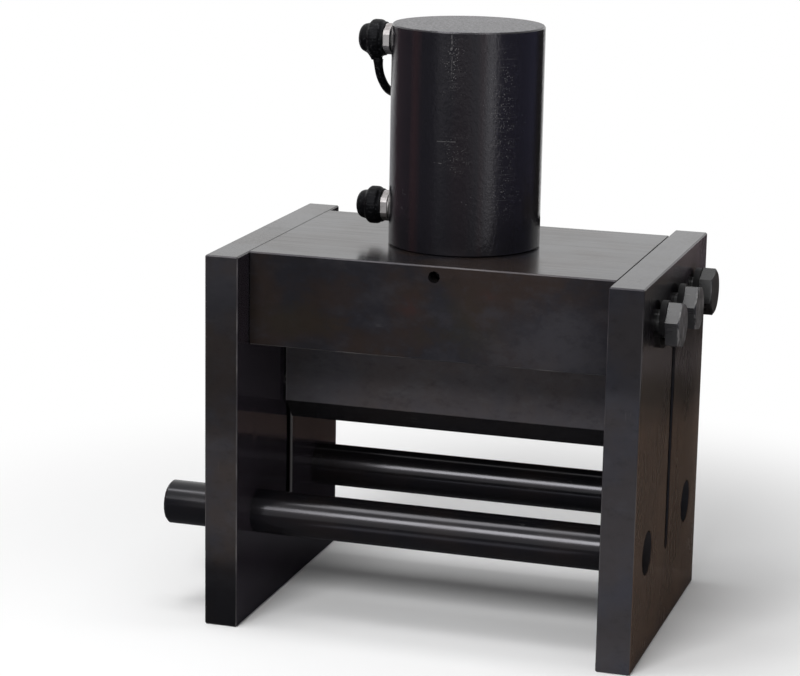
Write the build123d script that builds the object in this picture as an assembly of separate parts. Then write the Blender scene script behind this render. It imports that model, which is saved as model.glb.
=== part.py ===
"""Hydraulic busbar bender: two side plates, a top block, a double-acting cylinder, a punch and two die rods.

Millimetres, +Z up, -Y towards the operator. The origin is on the floor, under the ram's axis.
"""

from build123d import *
import math
import os

os.makedirs("parts", exist_ok=True)

# Side plates and the block bolted between them
jaw_gap = 216.0
plate_thickness = 20.0
plate_depth = 180.0
plate_height = 222.0
block_depth = 142.0
block_height = 55.0
edge_break = 0.8

# Bolts with spring washers on the right plate, and flush screws on the left one
bolt_diameter = 16.0
bolt_length = 50.0
bolt_head_width = 24.0
bolt_head_height = 8.0
bolt_spacing = 48.0
bolt_turns = (15.0, 11.0, 41.0)
bolt_hole_clearance = 0.75
tapped_hole_spare = 4.0
thread_clearance = 0.05
washer_diameter = 27.0
washer_height = 6.0
washer_wire_thickness = 3.5
washer_bedding = 0.3
washer_sweep = 352.0
washer_turns = (-70.0, -95.0, -60.0)
flush_screw_length = 50.0
flush_head_diameter = 30.0
flush_head_rim = 0.6
flush_socket = 10.0
flush_socket_depth = 5.5

# Die rods that slide in the side plates
die_rod_diameter = 26.0
die_rod_length = 284.0
die_rod_spacing = 110.0
die_rod_height = 62.0
die_rod_recess = 7.5
die_rod_chamfer = 1.5
running_clearance = 0.05

# Punch and the pins that guide it in the plates' slots
punch_thickness = 25.0
punch_end_clearance = 2.0
punch_top_clearance = 2.0
punch_tip_height = 106.7
punch_tip_radius = 2.0
punch_angle = 82.0
guide_pin_diameter = 9.8
guide_pin_grip = 20.0
guide_pin_reach = 12.0
guide_pin_chamfer = 0.8
guide_pin_below_top = 8.0
guide_pin_spacing = 27.0
guide_slot_clearance = 0.1
guide_slot_room_below = 17.1
guide_slot_room_above = 13.1

# Cylinder barrel, screwed into the block by its spigot
barrel_diameter = 89.0
barrel_chamfer = 1.0
bore_diameter = 60.0
crown_thickness = 22.0
spigot_diameter = 76.0
spigot_length = 40.0
spigot_end_gap = 0.3
rod_hole_diameter = 44.0
lock_screw_core = 6.7
lock_screw_length = 20.0
lock_screw_below_top = 6.5
lock_screw_offset = 3.0
lock_screw_socket = 4.0
lock_screw_socket_depth = 5.0

# Gland that closes the barrel's lower end round the ram
gland_length = 56.0
gland_thread_diameter = 64.0
gland_thread_length = 30.0
gland_spanner_hole = 5.0
gland_spanner_depth = 6.0
ram_way_clearance = 0.3
bush_wall = 2.0
bush_length = 26.0
bush_below_top = 2.0
rod_ring_wall = 4.0
wiper_height = 6.0
rod_seal_height = 8.0
rod_seal_above_wiper = 8.0
seal_clearance = 0.03
o_ring_section = 3.0
o_ring_below_top = 9.0

# Ram: piston, its rings and nut, and the rod that carries the punch
ram_stroke = 60.0
ram_diameter = 38.0
piston_length = 30.0
piston_top_gap = 1.0
piston_nose_diameter = 50.0
piston_nose_length = 8.0
wear_ring_height = 5.0
wear_ring_wall = 2.5
wear_ring_above_nose = 2.0
piston_seal_height = 6.0
piston_seal_wall = 4.5
piston_seal_below_top = 5.0
piston_stud_diameter = 24.0
piston_nut_width = 36.0
piston_nut_height = 14.0
piston_nut_sink = 1.0
piston_nut_room = 1.2
punch_stud_diameter = 16.0
punch_stud_length = 25.0
punch_stud_spare = 1.0

# Hydraulic couplers, which point to -X out of the barrel
oil_way_diameter = 6.0
port_above_gland = 3.3
upper_oil_way_reach = 20.0
spot_face_radius = 9.6
spot_face_depth = 0.05
coupler_stem_diameter = 13.0
coupler_stem_length = 9.5
coupler_stem_spare = 0.9
seal_washer_diameter = 16.8
seal_washer_thickness = 1.2
coupler_neck_diameter = 15.0
coupler_neck_length = 1.0
coupler_hex_width = 17.0
coupler_hex_length = 3.8
coupler_hex_turned_diameter = 18.2
nipple_diameter = 14.0
nipple_length = 14.0
nipple_groove_radius = 1.2
nipple_groove_from_end = 6.5
nipple_throat_diameter = 5.0
valve_chamber_diameter = 9.5
valve_chamber_length = 12.0
valve_seat_length = 2.0
valve_nose_clearance = 0.075
valve_seat_gap = 0.05
poppet_head_diameter = 8.8
poppet_head_length = 2.5
poppet_tail_diameter = 4.0
poppet_tail_length = 5.0
poppet_nose_short = 0.2
valve_spring_wall = 1.6

# Dust caps on the couplers and the tether of the upper one
cap_mouth_gap = 0.15
cap_length = 17.0
cap_mouth_radius = 9.9
cap_lip_radius = 10.2
cap_lip_end = 2.0
cap_grip_radius = 11.7
cap_grip_start = 3.4
cap_grip_end = 9.6
cap_nose_radius = 9.9
cap_nose_start = 11.2
cap_end_wall = 3.0
cap_rib_count = 36
cap_rib_cut_radius = 0.45
cap_lug_size = 5.6
cap_lug_reach = 12.6
cap_lug_middle = 5.75
cap_web_root = 6.5
cap_web_end = 13.4
cap_web_bow = 1.3
tether_diameter = 5.0
eye_thickness = 0.8
eye_radius = 8.4
eye_boss_start = 11.2
eye_boss_end = 12.6
eye_boss_length = 5.2
eye_boss_height = 5.4
eye_gap = 0.1

# The tether's route from the cap's lug to the eye's boss: X and Y, and Z from the upper port's axis
tether_route = [
    (-55.3, 0.0, -12.6),
    (-55.3, 0.0, -18.0),
    (-54.9, 1.8, -22.8),
    (-54.3, 4.6, -27.4),
    (-53.5, 8.6, -31.8),
    (-52.6, 14.2, -34.6),
    (-51.6, 20.8, -35.2),
    (-50.6, 27.2, -33.2),
    (-49.7, 32.2, -28.6),
    (-48.9, 34.8, -22.0),
    (-48.2, 34.4, -14.8),
    (-47.7, 31.2, -8.2),
    (-47.4, 26.4, -3.0),
    (-47.3, 20.0, 0.0),
    (-47.3, 12.6, 0.0),
]
tether_run_share = 0.45

# Places that follow from the sizes above
inner_x = jaw_gap / 2
outer_x = inner_x + plate_thickness
block_bottom = plate_height - block_height
bolt_z = plate_height - block_height / 2
bolt_ys = (-bolt_spacing, 0.0, bolt_spacing)
die_rod_ys = (-die_rod_spacing / 2, die_rod_spacing / 2)
die_rod_right = outer_x - die_rod_recess
punch_top = block_bottom - punch_top_clearance
punch_end_x = inner_x - punch_end_clearance
guide_pin_zs = (punch_top - guide_pin_below_top, punch_top - guide_pin_below_top - guide_pin_spacing)
guide_slot_width = guide_pin_diameter + 2 * guide_slot_clearance
guide_slot_top = guide_pin_zs[0] + guide_pin_diameter / 2 + guide_slot_room_above
guide_slot_bottom = guide_pin_zs[1] - ram_stroke - guide_pin_diameter / 2 - guide_slot_room_below
spigot_bottom = plate_height - spigot_length
gland_top = spigot_bottom + gland_length
gland_shoulder = spigot_bottom + gland_thread_length
piston_bottom = gland_top + ram_stroke
piston_top = piston_bottom + piston_length
crown_bottom = piston_top + piston_top_gap
barrel_top = crown_bottom + crown_thickness
barrel_radius = barrel_diameter / 2
bore_radius = bore_diameter / 2
ram_radius = ram_diameter / 2
lower_port_z = gland_top + port_above_gland
upper_port_z = crown_bottom + crown_thickness / 2
seat_u = math.sqrt(barrel_radius**2 - spot_face_radius**2) - spot_face_depth
neck_u = seat_u + seal_washer_thickness
hex_u = neck_u + coupler_neck_length
nipple_u = hex_u + coupler_hex_length
nipple_end_u = nipple_u + nipple_length
valve_seat_u = nipple_end_u - valve_seat_length
valve_floor_u = valve_seat_u - valve_chamber_length
poppet_head_u = valve_seat_u - valve_seat_gap - poppet_head_length
cap_mouth_u = nipple_u + cap_mouth_gap

ON_FLOOR = (Align.CENTER, Align.CENTER, Align.MIN)


def bar_z(z_low, z_high, radius, x=0.0, y=0.0):
    """A round bar standing along Z."""
    return Pos(x, y, z_low) * Cylinder(radius, z_high - z_low, align=ON_FLOOR)


def bar_x(x_low, x_high, radius, y, z):
    """A round bar lying along X."""
    return Pos(x_low, y, z) * Rot(0, 90, 0) * Cylinder(radius, x_high - x_low, align=ON_FLOOR)


def bar_y(y_low, y_high, radius, x, z):
    """A round bar lying along Y."""
    return Pos(x, y_low, z) * Rot(-90, 0, 0) * Cylinder(radius, y_high - y_low, align=ON_FLOOR)


def ring_z(z_low, z_high, inner_radius, outer_radius):
    """A plain ring round the Z axis."""
    return bar_z(z_low, z_high, outer_radius) - bar_z(z_low, z_high, inner_radius)


def turned(points):
    """A body turned round the Z axis from its half section, given as radius and height."""
    return revolve(Plane.XZ * make_face(Polyline(*points, close=True)), Axis.Z)


def hex_bar(z_low, z_high, width, turn=0.0):
    """A hexagonal bar along Z, with a flat square to X when turn is 30."""
    outline = RegularPolygon(width / 2, 6, major_radius=False, rotation=turn)
    return extrude(Pos(0, 0, z_low) * outline, z_high - z_low)


def at_port(port_z, shape):
    """Point a shape that was drawn along +Z out of the barrel to -X, at a port's height."""
    return Pos(0, 0, port_z) * Rot(0, -90, 0) * shape


def to_side(side, shape):
    """Turn a shape drawn along +Z so that it points outwards from the left (-1) or right (1) plate."""
    return Rot(0, 90 * side, 0) * shape


def group(shapes):
    """Several separate solids of the same kind in one node."""
    return Compound(children=shapes)


def side_plate(side):
    """A side plate with its bolt holes, die rod bores and guide slot."""
    plate = Box(plate_thickness, plate_depth, plate_height, align=ON_FLOOR)
    plate = Pos(side * (inner_x + outer_x) / 2, 0, 0) * chamfer(plate.edges(), edge_break)
    x_low = min(side * inner_x, side * outer_x)
    x_high = x_low + plate_thickness
    for y in bolt_ys:
        plate -= bar_x(x_low, x_high, bolt_diameter / 2 + bolt_hole_clearance, y, bolt_z)
        if side < 0:
            plate -= Pos(0, y, bolt_z) * to_side(side, flush_head(thread_clearance))
    for y in die_rod_ys:
        plate -= bar_x(x_low, x_high, die_rod_diameter / 2 + running_clearance, y, die_rod_height)
    slot_middle = (guide_slot_bottom + guide_slot_top) / 2
    slot = SlotOverall(guide_slot_top - guide_slot_bottom, guide_slot_width, rotation=90)
    plate -= extrude(Plane.YZ.offset(x_low) * Pos(0, slot_middle) * slot, plate_thickness)
    return plate


def top_block():
    """The block between the plates, bored for the cylinder's spigot and tapped for bolts and lock screw."""
    block = Pos(0, 0, block_bottom) * Box(jaw_gap, block_depth, block_height, align=ON_FLOOR)
    block = chamfer(block.edges().filter_by(Axis.X), edge_break)
    spigot_floor = spigot_bottom - spigot_end_gap
    block -= bar_z(spigot_floor, plate_height, spigot_diameter / 2 + thread_clearance)
    block -= bar_z(block_bottom, spigot_floor, rod_hole_diameter / 2)
    left_depth = flush_screw_length - plate_thickness + tapped_hole_spare
    right_depth = bolt_length - washer_height - plate_thickness + tapped_hole_spare
    for y in bolt_ys:
        for x_low, depth in ((-inner_x, left_depth), (inner_x - right_depth, right_depth)):
            block -= bar_x(x_low, x_low + depth, bolt_diameter / 2 + thread_clearance, y, bolt_z)
    block -= bar_y(
        -block_depth / 2,
        -spigot_diameter / 2 + spigot_end_gap,
        lock_screw_core / 2 + thread_clearance,
        lock_screw_offset,
        plate_height - lock_screw_below_top,
    )
    return block


def side_bolts():
    """Three hexagon bolts of the right plate, each turned as it was tightened."""
    head_low = outer_x + washer_height
    head_high = head_low + bolt_head_height
    corner = bolt_head_width / math.sqrt(3)
    corner_cut = corner - bolt_head_width / 2
    bolts = []
    for y, turn in zip(bolt_ys, bolt_turns):
        head = hex_bar(head_low, head_high, bolt_head_width, 30 - turn)
        rounding = bar_z(head_low, head_high, corner)
        rounding = chamfer(rounding.edges().sort_by(Axis.Z)[-1], corner_cut / 2, corner_cut)
        shank = bar_z(head_low - bolt_length, head_low, bolt_diameter / 2)
        shank = chamfer(shank.edges().sort_by(Axis.Z)[0], edge_break)
        bolts.append(Pos(0, y, bolt_z) * to_side(1, (head & rounding) + shank))
    return group(bolts)


def spring_washers():
    """Three split spring washers under the bolt heads, which still stand a little open."""
    inner = bolt_diameter / 2 + bolt_hole_clearance
    outer = washer_diameter / 2
    rise = washer_height - washer_wire_thickness + 2 * washer_bedding
    path = Helix(pitch=rise * 360 / washer_sweep, height=rise, radius=(inner + outer) / 2)
    section = Plane(origin=path @ 0, x_dir=(1, 0, 0), z_dir=path % 0)
    wire = sweep(section * Rectangle(outer - inner, washer_wire_thickness), path, is_frenet=True)
    wire = Pos(0, 0, outer_x + washer_wire_thickness / 2 - washer_bedding) * wire
    wire = wire & bar_z(outer_x, outer_x + washer_height, washer_diameter)
    washers = []
    for y, turn in zip(bolt_ys, washer_turns):
        washers.append(Pos(0, y, bolt_z) * to_side(1, Rot(0, 0, turn) * wire))
    return group(washers)


def flush_head(room=0.0):
    """A countersunk head that ends level with a plate's outer face, or with room the sink for it."""
    head_radius = flush_head_diameter / 2 + room
    rim_low = outer_x - flush_head_rim
    cone_low = rim_low - (flush_head_diameter - bolt_diameter) / 2
    neck_radius = bolt_diameter / 2 + room
    cone = [(0, cone_low), (neck_radius, cone_low), (head_radius, rim_low)]
    return turned(cone + [(head_radius, outer_x), (0, outer_x)])


def flush_screws():
    """Three flush socket screws of the left plate, where nothing stands out."""
    screws = []
    for y in bolt_ys:
        shank = bar_z(outer_x - flush_screw_length, outer_x - flush_socket_depth, bolt_diameter / 2)
        screw = chamfer(shank.edges().sort_by(Axis.Z)[0], edge_break) + flush_head()
        screw -= hex_bar(outer_x - flush_socket_depth, outer_x, flush_socket)
        screws.append(Pos(0, y, bolt_z) * to_side(-1, screw))
    return group(screws)


def die_rod(y):
    """A plain round rod with chamfered ends, which the bar is bent over."""
    rod = bar_x(die_rod_right - die_rod_length, die_rod_right, die_rod_diameter / 2, y, die_rod_height)
    return chamfer(rod.edges().filter_by(GeomType.CIRCLE), die_rod_chamfer)


def punch():
    """The bending blade: a bar with a rounded V edge, drilled for its guide pins and the ram's stud."""
    half_angle = math.radians(punch_angle / 2)
    apex = punch_tip_height - punch_tip_radius * (1 / math.sin(half_angle) - 1)
    shoulder = apex + punch_thickness / 2 / math.tan(half_angle)
    half = punch_thickness / 2
    corners = [(-half, punch_top), (half, punch_top), (half, shoulder), (0, apex), (-half, shoulder)]
    outline = make_face(Polyline(*corners, close=True))
    outline = fillet(outline.vertices().sort_by(Axis.Y)[0], punch_tip_radius)
    blade = extrude(Plane.YZ.offset(-punch_end_x) * outline, 2 * punch_end_x)
    stud_floor = punch_top - punch_stud_length - punch_stud_spare
    blade -= bar_z(stud_floor, punch_top, punch_stud_diameter / 2 + thread_clearance)
    hole_radius = guide_pin_diameter / 2 + thread_clearance / 2
    for z in guide_pin_zs:
        blade -= bar_x(punch_end_x - guide_pin_grip, punch_end_x, hole_radius, 0, z)
        blade -= bar_x(-punch_end_x, -punch_end_x + guide_pin_grip, hole_radius, 0, z)
    return blade


def guide_pins():
    """Two pins in each end of the punch, which run in the plates' slots."""
    pins = []
    for z in guide_pin_zs:
        for x_low in (punch_end_x - guide_pin_grip, -inner_x - guide_pin_reach):
            length = guide_pin_grip + punch_end_clearance + guide_pin_reach
            pin = bar_x(x_low, x_low + length, guide_pin_diameter / 2, 0, z)
            pins.append(chamfer(pin.edges().filter_by(GeomType.CIRCLE), guide_pin_chamfer))
    return group(pins)


def cylinder_barrel():
    """The one-piece barrel: closed crown, bore, threaded spigot and two oil ports."""
    barrel = bar_z(plate_height, barrel_top, barrel_radius)
    barrel = chamfer(barrel.edges().filter_by(GeomType.CIRCLE), barrel_chamfer)
    barrel += bar_z(spigot_bottom, plate_height, spigot_diameter / 2)
    barrel -= bar_z(spigot_bottom, crown_bottom, bore_radius)
    barrel -= bar_z(spigot_bottom, gland_shoulder, gland_thread_diameter / 2 + thread_clearance)
    port_floor_u = seat_u - coupler_stem_length - coupler_stem_spare
    for port_z, way_end_u in ((upper_port_z, upper_oil_way_reach), (lower_port_z, bore_radius / 2)):
        barrel -= at_port(port_z, bar_z(seat_u, barrel_radius, spot_face_radius))
        barrel -= at_port(port_z, bar_z(port_floor_u, seat_u, coupler_stem_diameter / 2 + thread_clearance))
        barrel -= at_port(port_z, bar_z(way_end_u, port_floor_u, oil_way_diameter / 2))
    barrel -= bar_z(crown_bottom, upper_port_z, oil_way_diameter / 2, x=-upper_oil_way_reach)
    return barrel


def lock_screw():
    """The socket set screw that locks the cylinder's thread in the block."""
    tip_y = -spigot_diameter / 2 - thread_clearance
    z = plate_height - lock_screw_below_top
    screw = bar_y(tip_y - lock_screw_length, tip_y, lock_screw_core / 2, lock_screw_offset, z)
    screw = chamfer(screw.edges().filter_by(GeomType.CIRCLE), edge_break)
    socket = hex_bar(0, lock_screw_socket_depth, lock_screw_socket)
    return screw - Pos(lock_screw_offset, tip_y - lock_screw_length, z) * Rot(-90, 0, 0) * socket


def cylinder_gland():
    """The screwed gland with grooves for wiper, rod seal and O-ring, and a bore for the bush."""
    gland = bar_z(spigot_bottom, gland_shoulder, gland_thread_diameter / 2)
    gland += bar_z(gland_shoulder, gland_top, bore_radius - thread_clearance)
    gland -= bar_z(spigot_bottom, gland_top, ram_radius + ram_way_clearance)
    ring_radius = ram_radius + rod_ring_wall + thread_clearance
    seal_bottom = spigot_bottom + wiper_height + rod_seal_above_wiper
    gland -= bar_z(spigot_bottom, spigot_bottom + wiper_height, ring_radius)
    gland -= bar_z(seal_bottom, seal_bottom + rod_seal_height, ring_radius)
    bush_top = gland_top - bush_below_top
    bush_radius = ram_radius + running_clearance + bush_wall
    gland -= bar_z(bush_top - bush_length, bush_top, bush_radius + thread_clearance)
    groove_top = gland_top - o_ring_below_top
    gland -= ring_z(groove_top - o_ring_section, groove_top, bore_radius - o_ring_section, bore_radius)
    spanner_ring = (ring_radius + gland_thread_diameter / 2) / 2
    for x in (-spanner_ring, spanner_ring):
        gland -= bar_z(spigot_bottom, spigot_bottom + gland_spanner_depth, gland_spanner_hole / 2, x=x)
    return gland


def gland_bush():
    """The bronze bush that the ram slides in."""
    bush_top = gland_top - bush_below_top
    inner = ram_radius + running_clearance
    return ring_z(bush_top - bush_length, bush_top, inner, inner + bush_wall)


def gland_o_ring():
    """The O-ring between gland and bore."""
    z = gland_top - o_ring_below_top - o_ring_section / 2
    return Pos(0, 0, z) * Torus(bore_radius - o_ring_section / 2, o_ring_section / 2 - thread_clearance)


def lip_seal(z_low, height, inner_radius, outer_radius):
    """A lip seal whose open V faces up, to the oil."""
    wall = outer_radius - inner_radius
    middle = (inner_radius + outer_radius) / 2
    return turned(
        [
            (inner_radius, z_low),
            (outer_radius, z_low),
            (outer_radius, z_low + height),
            (middle + wall / 4, z_low + height),
            (middle, z_low + height / 2),
            (middle - wall / 4, z_low + height),
            (inner_radius, z_low + height),
        ]
    )


def rod_seal():
    """The ram's oil seal in the gland."""
    z_low = spigot_bottom + wiper_height + rod_seal_above_wiper
    return lip_seal(z_low, rod_seal_height, ram_radius + seal_clearance, ram_radius + rod_ring_wall)


def rod_wiper():
    """The dirt wiper in the gland's mouth, which stands on the block's ledge."""
    inner = ram_radius + seal_clearance
    outer = ram_radius + rod_ring_wall
    relief = rod_ring_wall / 3
    return turned(
        [
            (inner, spigot_bottom),
            (outer, spigot_bottom),
            (outer, spigot_bottom + wiper_height),
            (inner + relief, spigot_bottom + wiper_height),
            (inner + relief, spigot_bottom + wiper_height / 2),
        ]
    )


def piston():
    """The piston with its nose, ring grooves and the sink for its nut."""
    radius = bore_radius - running_clearance
    nose_top = piston_bottom + piston_nose_length
    body = bar_z(piston_bottom, nose_top, piston_nose_diameter / 2)
    body += bar_z(nose_top, piston_top, radius)
    wear_low = nose_top + wear_ring_above_nose
    body -= ring_z(wear_low, wear_low + wear_ring_height, radius - wear_ring_wall, bore_radius)
    seal_low = piston_top - piston_seal_below_top - piston_seal_height
    body -= ring_z(seal_low, seal_low + piston_seal_height, radius - piston_seal_wall, bore_radius)
    sink_radius = piston_nut_width / math.sqrt(3) + piston_nut_room
    body -= bar_z(piston_top - piston_nut_height - piston_nut_sink, piston_top, sink_radius)
    return body - bar_z(piston_bottom, piston_top, piston_stud_diameter / 2 + thread_clearance)


def piston_wear_ring():
    """The slit guide ring in the piston's lower groove."""
    outer = bore_radius - seal_clearance
    inner = bore_radius - running_clearance - wear_ring_wall + thread_clearance
    z_low = piston_bottom + piston_nose_length + wear_ring_above_nose
    ring = ring_z(z_low, z_low + wear_ring_height, inner, outer)
    slit = Box(bore_radius, wear_ring_wall / 2, wear_ring_height, align=(Align.MIN, Align.CENTER, Align.MIN))
    return ring - Pos(0, 0, z_low) * slit


def piston_seal():
    """The piston's oil seal in its upper groove."""
    outer = bore_radius - seal_clearance
    inner = bore_radius - running_clearance - piston_seal_wall + thread_clearance
    z_low = piston_top - piston_seal_below_top - piston_seal_height
    return lip_seal(z_low, piston_seal_height, inner, outer)


def piston_nut():
    """The nut that holds the piston on the rod's stud."""
    z_high = piston_top - piston_nut_sink
    nut = hex_bar(z_high - piston_nut_height, z_high, piston_nut_width)
    return nut - bar_z(z_high - piston_nut_height, z_high, piston_stud_diameter / 2 + thread_clearance)


def piston_rod():
    """The ground rod, with a stud for the piston above and one for the punch below."""
    rod = bar_z(punch_top, piston_bottom, ram_radius)
    rod += bar_z(piston_bottom, piston_top - piston_nut_sink, piston_stud_diameter / 2)
    stud = bar_z(punch_top - punch_stud_length, punch_top, punch_stud_diameter / 2)
    return rod + chamfer(stud.edges().sort_by(Axis.Z)[0], edge_break)


def coupler(port_z):
    """A male quick coupler: threaded stem, neck, hexagon and grooved nipple, with its valve chamber."""
    body = bar_z(seat_u - coupler_stem_length, neck_u, coupler_stem_diameter / 2)
    body += bar_z(neck_u, hex_u, coupler_neck_diameter / 2)
    turned = bar_z(hex_u, nipple_u, coupler_hex_turned_diameter / 2)
    body += hex_bar(hex_u, nipple_u, coupler_hex_width) & turned
    nipple = bar_z(nipple_u, nipple_end_u, nipple_diameter / 2)
    body += chamfer(nipple.edges().sort_by(Axis.Z)[-1], edge_break)
    groove = Torus(nipple_diameter / 2, nipple_groove_radius)
    body -= Pos(0, 0, nipple_end_u - nipple_groove_from_end) * groove
    body -= bar_z(seat_u - coupler_stem_length, valve_floor_u, nipple_throat_diameter / 2)
    body -= bar_z(valve_floor_u, valve_seat_u, valve_chamber_diameter / 2)
    body -= bar_z(valve_seat_u, nipple_end_u, oil_way_diameter / 2)
    return at_port(port_z, body)


def seal_washer(port_z):
    """The bonded seal between a coupler and the barrel's spot face."""
    inner = coupler_stem_diameter / 2 + thread_clearance
    return at_port(port_z, ring_z(seat_u, neck_u, inner, seal_washer_diameter / 2))


def poppet(port_z):
    """The coupler's valve: nose, head and tail."""
    head_end_u = poppet_head_u + poppet_head_length
    body = bar_z(poppet_head_u, head_end_u, poppet_head_diameter / 2)
    body += bar_z(head_end_u, nipple_end_u - poppet_nose_short, oil_way_diameter / 2 - valve_nose_clearance)
    body += bar_z(poppet_head_u - poppet_tail_length, poppet_head_u, poppet_tail_diameter / 2)
    return at_port(port_z, body)


def poppet_spring(port_z):
    """The sleeve that the valve's spring fills, between chamber floor and poppet head."""
    outer = poppet_head_diameter / 2
    return at_port(port_z, ring_z(valve_floor_u, poppet_head_u, outer - valve_spring_wall, outer))


def cap_lug():
    """The web below a cap, which narrows in a bow from the nose down to the tether's root."""
    near_u = cap_mouth_u + cap_lug_middle - cap_lug_size / 2
    far_u = near_u + cap_lug_size
    web_u = cap_mouth_u + cap_web_end
    middle = (-(cap_lug_reach + cap_web_root) / 2 + cap_web_bow, (far_u + web_u) / 2 - cap_web_bow)
    root = (-cap_web_root, web_u)
    tip = (-cap_lug_reach, far_u)
    sides = Polyline(tip, (-cap_lug_reach, near_u), (-cap_web_root, near_u), root)
    bow = ThreePointArc(root, middle, tip)
    web = extrude(Plane.XZ * make_face([sides, bow]), cap_lug_size / 2, both=True)
    return chamfer(web.edges().group_by(Axis.X)[0], edge_break)


def dust_cap(port_z, has_lug):
    """A ribbed cap over the coupler's nipple, with a lug below where a tether hangs from it."""
    cap_end_u = cap_mouth_u + cap_length
    dome_start = (cap_nose_radius, cap_mouth_u + cap_nose_start)
    sides = Polyline(
        (0, cap_end_u),
        (0, cap_mouth_u),
        (cap_mouth_radius, cap_mouth_u),
        (cap_lip_radius, cap_mouth_u + cap_lip_end),
        (cap_grip_radius, cap_mouth_u + cap_grip_start),
        (cap_grip_radius, cap_mouth_u + cap_grip_end),
        dome_start,
    )
    dome = TangentArc((0, cap_end_u), dome_start, tangent=(1, 0))
    cap = revolve(Plane.XZ * make_face([sides, dome]), Axis.Z)
    groove = bar_z(cap_mouth_u + cap_lip_end, cap_end_u, cap_rib_cut_radius, x=cap_grip_radius)
    cap -= PolarLocations(0, cap_rib_count, start_angle=180 / cap_rib_count) * groove
    if has_lug:
        cap += cap_lug()
    cap -= bar_z(cap_mouth_u, cap_end_u - cap_end_wall, nipple_diameter / 2 + running_clearance)
    return at_port(port_z, cap)


def tether_eye():
    """The flat rubber eye round the upper coupler's neck, with the boss that the tether grows from."""
    u_low = neck_u + eye_gap
    eye = bar_z(u_low, u_low + eye_thickness, eye_radius)
    outwards = (Align.CENTER, Align.MIN, Align.MIN)
    tongue = Box(eye_boss_height, eye_boss_end, eye_thickness, align=outwards)
    boss = Box(eye_boss_height, eye_boss_end - eye_boss_start, eye_boss_length, align=outwards)
    eye += Pos(0, 0, u_low) * tongue
    eye += Pos(0, eye_boss_start, u_low) * boss
    eye -= bar_z(u_low, u_low + eye_thickness, coupler_neck_diameter / 2 + thread_clearance)
    return at_port(upper_port_z, eye)


def cap_tether():
    """The upper cap's tether: one round rubber cord, straight runs joined by the largest arcs they allow."""
    points = [Vector(x, y, upper_port_z + z) for x, y, z in tether_route]
    runs = [b - a for a, b in zip(points, points[1:])]
    radii = []
    for before, after in zip(runs, runs[1:]):
        half_turn = math.radians(before.get_angle(after)) / 2
        radii.append(tether_run_share * min(before.length, after.length) / math.tan(half_turn))
    path = FilletPolyline(*points, radius=radii)
    section = Plane(origin=path @ 0, z_dir=path % 0) * Circle(tether_diameter / 2)
    tether = sweep(section, path)
    print("tether length", round(path.length, 1), "radii", [round(r, 1) for r in radii])
    print("tether volume over section times length", tether.volume / (section.area * path.length))
    return tether


parts = {
    "left_side_plate": side_plate(-1),
    "right_side_plate": side_plate(1),
    "top_block": top_block(),
    "left_side_screws": flush_screws(),
    "right_side_bolts": side_bolts(),
    "right_spring_washers": spring_washers(),
    "front_die_rod": die_rod(die_rod_ys[0]),
    "rear_die_rod": die_rod(die_rod_ys[1]),
    "punch": punch(),
    "punch_guide_pins": guide_pins(),
    "cylinder_barrel": cylinder_barrel(),
    "barrel_lock_screw": lock_screw(),
    "cylinder_gland": cylinder_gland(),
    "gland_bush": gland_bush(),
    "gland_o_ring": gland_o_ring(),
    "rod_seal": rod_seal(),
    "rod_wiper": rod_wiper(),
    "piston": piston(),
    "piston_wear_ring": piston_wear_ring(),
    "piston_seal": piston_seal(),
    "piston_nut": piston_nut(),
    "piston_rod": piston_rod(),
    "tether_eye": tether_eye(),
    "upper_cap_tether": cap_tether(),
}
for name, port_z in (("upper", upper_port_z), ("lower", lower_port_z)):
    parts[f"{name}_coupler"] = coupler(port_z)
    parts[f"{name}_seal_washer"] = seal_washer(port_z)
    parts[f"{name}_poppet"] = poppet(port_z)
    parts[f"{name}_poppet_spring"] = poppet_spring(port_z)
    parts[f"{name}_dust_cap"] = dust_cap(port_z, has_lug=name == "upper")

for name, shape in parts.items():
    export_step(shape, f"parts/{name}.step")
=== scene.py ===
"""Looks of the hydraulic busbar bender: blued steel frame, turned barrel, nickel couplers and rubber caps.

Metres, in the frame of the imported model: +Z up, -Y towards the operator, and the origin on the floor
under the ram.
"""

import math

import bmesh
import bpy
from mathutils import Matrix, Vector


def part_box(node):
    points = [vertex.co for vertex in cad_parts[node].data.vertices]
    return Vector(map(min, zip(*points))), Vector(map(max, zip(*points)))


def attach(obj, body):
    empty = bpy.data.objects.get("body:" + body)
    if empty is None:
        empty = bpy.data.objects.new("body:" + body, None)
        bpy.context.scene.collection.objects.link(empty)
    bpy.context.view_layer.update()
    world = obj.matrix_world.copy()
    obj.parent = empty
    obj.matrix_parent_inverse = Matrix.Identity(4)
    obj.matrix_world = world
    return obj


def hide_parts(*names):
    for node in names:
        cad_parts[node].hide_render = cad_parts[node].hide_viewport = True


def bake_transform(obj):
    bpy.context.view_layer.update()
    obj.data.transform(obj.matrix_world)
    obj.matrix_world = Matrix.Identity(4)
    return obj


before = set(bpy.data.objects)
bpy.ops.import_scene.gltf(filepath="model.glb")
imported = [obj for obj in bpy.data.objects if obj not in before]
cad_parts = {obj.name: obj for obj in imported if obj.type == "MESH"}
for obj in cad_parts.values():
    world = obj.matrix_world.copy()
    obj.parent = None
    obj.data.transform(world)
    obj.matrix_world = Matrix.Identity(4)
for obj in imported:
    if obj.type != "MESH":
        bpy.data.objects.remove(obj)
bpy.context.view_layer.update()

MM = 0.001
X, Y, Z = range(3)

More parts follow.
